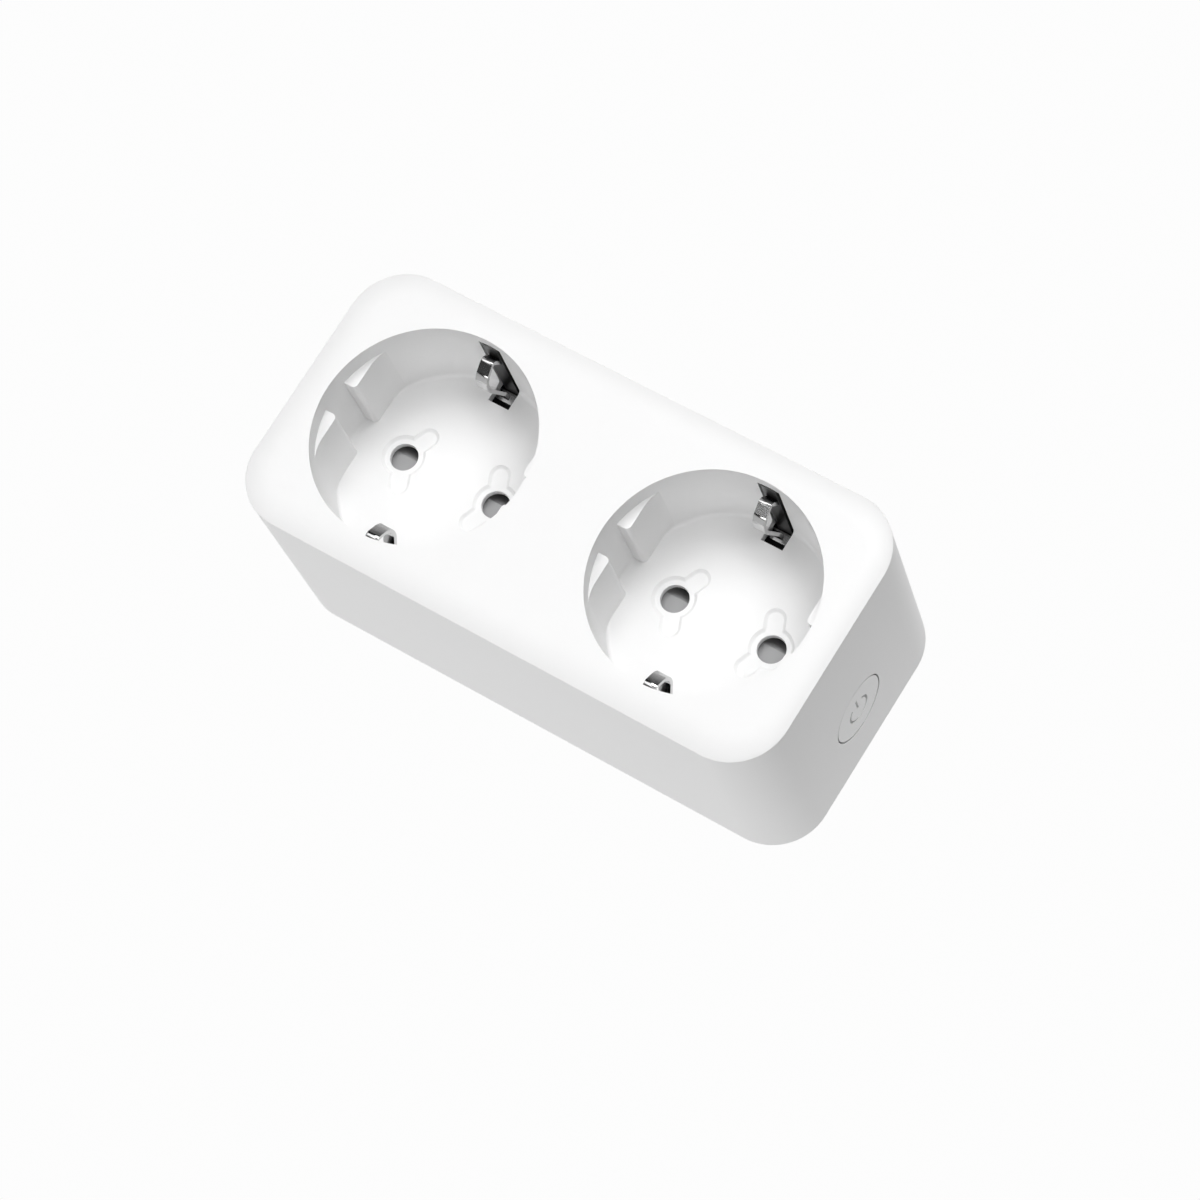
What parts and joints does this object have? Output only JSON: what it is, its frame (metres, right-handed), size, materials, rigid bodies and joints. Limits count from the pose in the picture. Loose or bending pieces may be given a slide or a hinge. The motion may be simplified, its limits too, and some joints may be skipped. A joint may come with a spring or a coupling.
{
  "type": "smart plug",
  "caption": "Smart plug with a long rounded white body, recessed earthed sockets on its face, an earthed plug on its back and a power button on one end.",
  "frame": {"origin": "centre of the end face of the rear plug, between its pins", "axes": "+X along the body towards the end with the button, +Y across the body, +Z out of the face with the sockets"},
  "size_m": [0.105, 0.05, 0.08],
  "materials": {
    "shell": "satin white moulded plastic",
    "button": "satin white moulded plastic",
    "screw_steel": "zinc-plated steel",
    "black_plastic": "matt black moulded plastic",
    "pin_metal": "nickel-plated brass",
    "earth_metal": "nickel-plated spring brass",
    "shutter_grey": "matt grey moulded plastic",
    "spring_steel": "bright spring wire",
    "contact_brass": "spring brass",
    "plunger_amber": "amber moulded plastic",
    "circuit_board": "green solder mask",
    "led_lens": "milky lens",
    "relay_blue": "blue moulded case",
    "winding_tape": "yellow winding tape and ferrite",
    "can_sleeve": "shrunk plastic sleeve",
    "film_case": "yellow potted case",
    "varistor_coat": "blue dipped coating",
    "resistor_coat": "green cement coating",
    "shield_can": "tinned steel shield"
  },
  "bodies": {
    "root": {"housing": "shell", "back_cover": "shell", "cover_screws": "screw_steel", "pin_holder": "black_plastic", "plug_pin_live": "pin_metal", "plug_pin_neutral": "pin_metal", "plug_earth_strip_a": "earth_metal", "plug_earth_strip_b": "earth_metal", "earth_rail_a": "earth_metal", "earth_rail_b": "earth_metal", "contact_block_left": "black_plastic", "contact_block_right": "black_plastic", "block_screws": "screw_steel", "shutter_spring_left": "spring_steel", "shutter_spring_right": "spring_steel", "neutral_bar": "contact_brass", "live_contact_left": "contact_brass", "live_contact_right": "contact_brass", "switch_body": "black_plastic", "control_board": "circuit_board", "status_led": "led_lens", "main_board": "circuit_board", "board_screws": "screw_steel", "relay_left": "relay_blue", "relay_right": "relay_blue", "transformer": "winding_tape", "bulk_capacitor": "can_sleeve", "output_capacitor": "can_sleeve", "suppression_capacitor": "film_case", "varistor": "varistor_coat", "fuse_resistor": "resistor_coat", "bridge_rectifier": "black_plastic", "wifi_module": "shield_can"},
    "shutter_left": {"shutter_left": "shutter_grey"},
    "shutter_right": {"shutter_right": "shutter_grey"},
    "earth_clip_left_a": {"earth_clip_left_a": "earth_metal"},
    "earth_clip_left_b": {"earth_clip_left_b": "earth_metal"},
    "earth_clip_right_a": {"earth_clip_right_a": "earth_metal"},
    "earth_clip_right_b": {"earth_clip_right_b": "earth_metal"},
    "power_button": {"power_button": "button"},
    "switch_plunger": {"switch_plunger": "plunger_amber"}
  },
  "joints": [
    {"name": "shutter_left_slide", "type": "slide", "parent": "root", "child": "shutter_left", "axis": [0, -1, 0], "range_m": [0, 0.0058], "stiffness_N_per_m": 100, "springref_m": -0.003, "deforming": ["shutter_spring_left"]},
    {"name": "shutter_right_slide", "type": "slide", "parent": "root", "child": "shutter_right", "axis": [0, -1, 0], "range_m": [0, 0.0058], "stiffness_N_per_m": 100, "springref_m": -0.003, "deforming": ["shutter_spring_right"]},
    {"name": "earth_clip_left_a_flex", "type": "hinge", "parent": "root", "child": "earth_clip_left_a", "pos_m": [-0.0276, 0.01965, 0.04065], "axis": [-1, 0, 0], "range_deg": [0, 5], "stiffness_Nm_per_rad": 0.2},
    {"name": "earth_clip_left_b_flex", "type": "hinge", "parent": "root", "child": "earth_clip_left_b", "pos_m": [-0.0276, -0.01965, 0.04065], "axis": [1, 0, 0], "range_deg": [0, 5], "stiffness_Nm_per_rad": 0.2},
    {"name": "earth_clip_right_a_flex", "type": "hinge", "parent": "root", "child": "earth_clip_right_a", "pos_m": [0.0276, 0.01965, 0.04065], "axis": [-1, 0, 0], "range_deg": [0, 5], "stiffness_Nm_per_rad": 0.2},
    {"name": "earth_clip_right_b_flex", "type": "hinge", "parent": "root", "child": "earth_clip_right_b", "pos_m": [0.0276, -0.01965, 0.04065], "axis": [1, 0, 0], "range_deg": [0, 5], "stiffness_Nm_per_rad": 0.2},
    {"name": "power_button_press", "type": "slide", "parent": "root", "child": "power_button", "axis": [-1, 0, 0], "range_m": [0, 0.0005], "stiffness_N_per_m": 2000, "springref_m": -0.0002},
    {"name": "switch_plunger_press", "type": "slide", "parent": "root", "child": "switch_plunger", "axis": [-1, 0, 0], "range_m": [0, 0.00025]}
  ],
  "couplings": [
    {"joint": "switch_plunger_press", "follows": "power_button_press", "ratio": 0.5}
  ]
}
